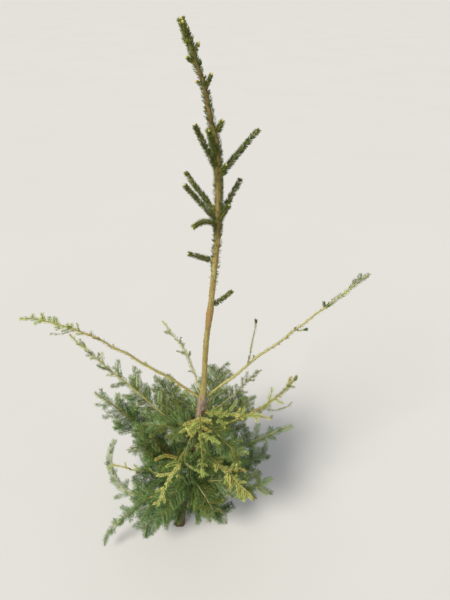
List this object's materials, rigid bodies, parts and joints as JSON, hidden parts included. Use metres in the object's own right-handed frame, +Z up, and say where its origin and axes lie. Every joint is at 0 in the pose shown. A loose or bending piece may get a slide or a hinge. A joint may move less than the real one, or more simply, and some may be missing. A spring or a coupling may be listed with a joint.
{
  "type": "red spruce sapling",
  "caption": "Young red spruce with a slender leaning stem, short upper shoots, long side limbs and a dense lower crown of needle sprays.",
  "frame": {"origin": "middle of the flat cut under the trunk, at ground level", "axes": "+Z up, +X to the right and +Y away from the viewer in the picture"},
  "size_m": [0.9257, 0.4188, 1.4487],
  "materials": {
    "bark": "thin scaly bark, orange-brown above and grey-brown at the foot",
    "bough_bark": "smooth straw-yellow to orange-tan shoot bark with needle pegs",
    "needles_green": "waxy dark to blue-green needles",
    "needles_olive": "short olive-green needles close along the shoots",
    "needles_gold": "needles yellowed to gold and orange"
  },
  "bodies": {
    "root": {"bough_arching_left": "bough_bark", "bough_arching_right": "bough_bark", "bough_drooping_left": "bough_bark", "bough_high_back": "bough_bark", "bough_long_left": "bough_bark", "bough_long_right": "bough_bark", "bough_low_back": "bough_bark", "bough_low_right": "bough_bark", "bough_middle_back": "bough_bark", "bough_middle_back_right": "bough_bark", "bough_rising_right": "bough_bark", "bough_second_left": "bough_bark", "bough_slim_back_left": "bough_bark", "bough_third_left": "bough_bark", "mass_arching_left": "needles_green", "mass_arching_right": "needles_green", "mass_crown_shoot_back": "needles_olive", "mass_crown_shoot_front": "needles_olive", "mass_crown_shoot_inner": "needles_olive", "mass_crown_shoot_left": "needles_olive", "mass_crown_shoot_right": "needles_olive", "mass_crown_shoot_small": "needles_olive", "mass_drooping_left": "needles_green", "mass_drooping_right": "needles_green", "mass_foot_front_left": "needles_green", "mass_foot_front_right": "needles_green", "mass_front_clump": "needles_gold", "mass_gold_front_left": "needles_gold", "mass_gold_front_right": "needles_gold", "mass_gold_right": "needles_gold", "mass_high_back": "needles_green", "mass_inner_left": "needles_green", "mass_leader_bud_left": "needles_olive", "mass_leader_bud_right": "needles_olive", "mass_long_left": "needles_green", "mass_long_right": "needles_green", "mass_low_back": "needles_green", "mass_low_back_left": "needles_green", "mass_low_back_right": "needles_green", "mass_low_front_left": "needles_green", "mass_low_front_right": "needles_green", "mass_low_left": "needles_green", "mass_low_right": "needles_green", "mass_middle_back": "needles_green", "mass_middle_back_right": "needles_green", "mass_rising_right": "needles_green", "mass_second_left": "needles_green", "mass_second_shoot_back": "needles_olive", "mass_second_shoot_drooping": "needles_olive", "mass_second_shoot_front": "needles_olive", "mass_second_shoot_left": "needles_olive", "mass_second_shoot_left_back": "needles_olive", "mass_second_shoot_right": "needles_olive", "mass_slim_back_left": "needles_green", "mass_slim_back_right": "needles_green", "mass_stem_twig_left": "needles_olive", "mass_stem_twig_right": "needles_olive", "mass_third_left": "needles_green", "mass_top_shoot": "needles_olive", "trunk": "bark"}
  },
  "joints": []
}
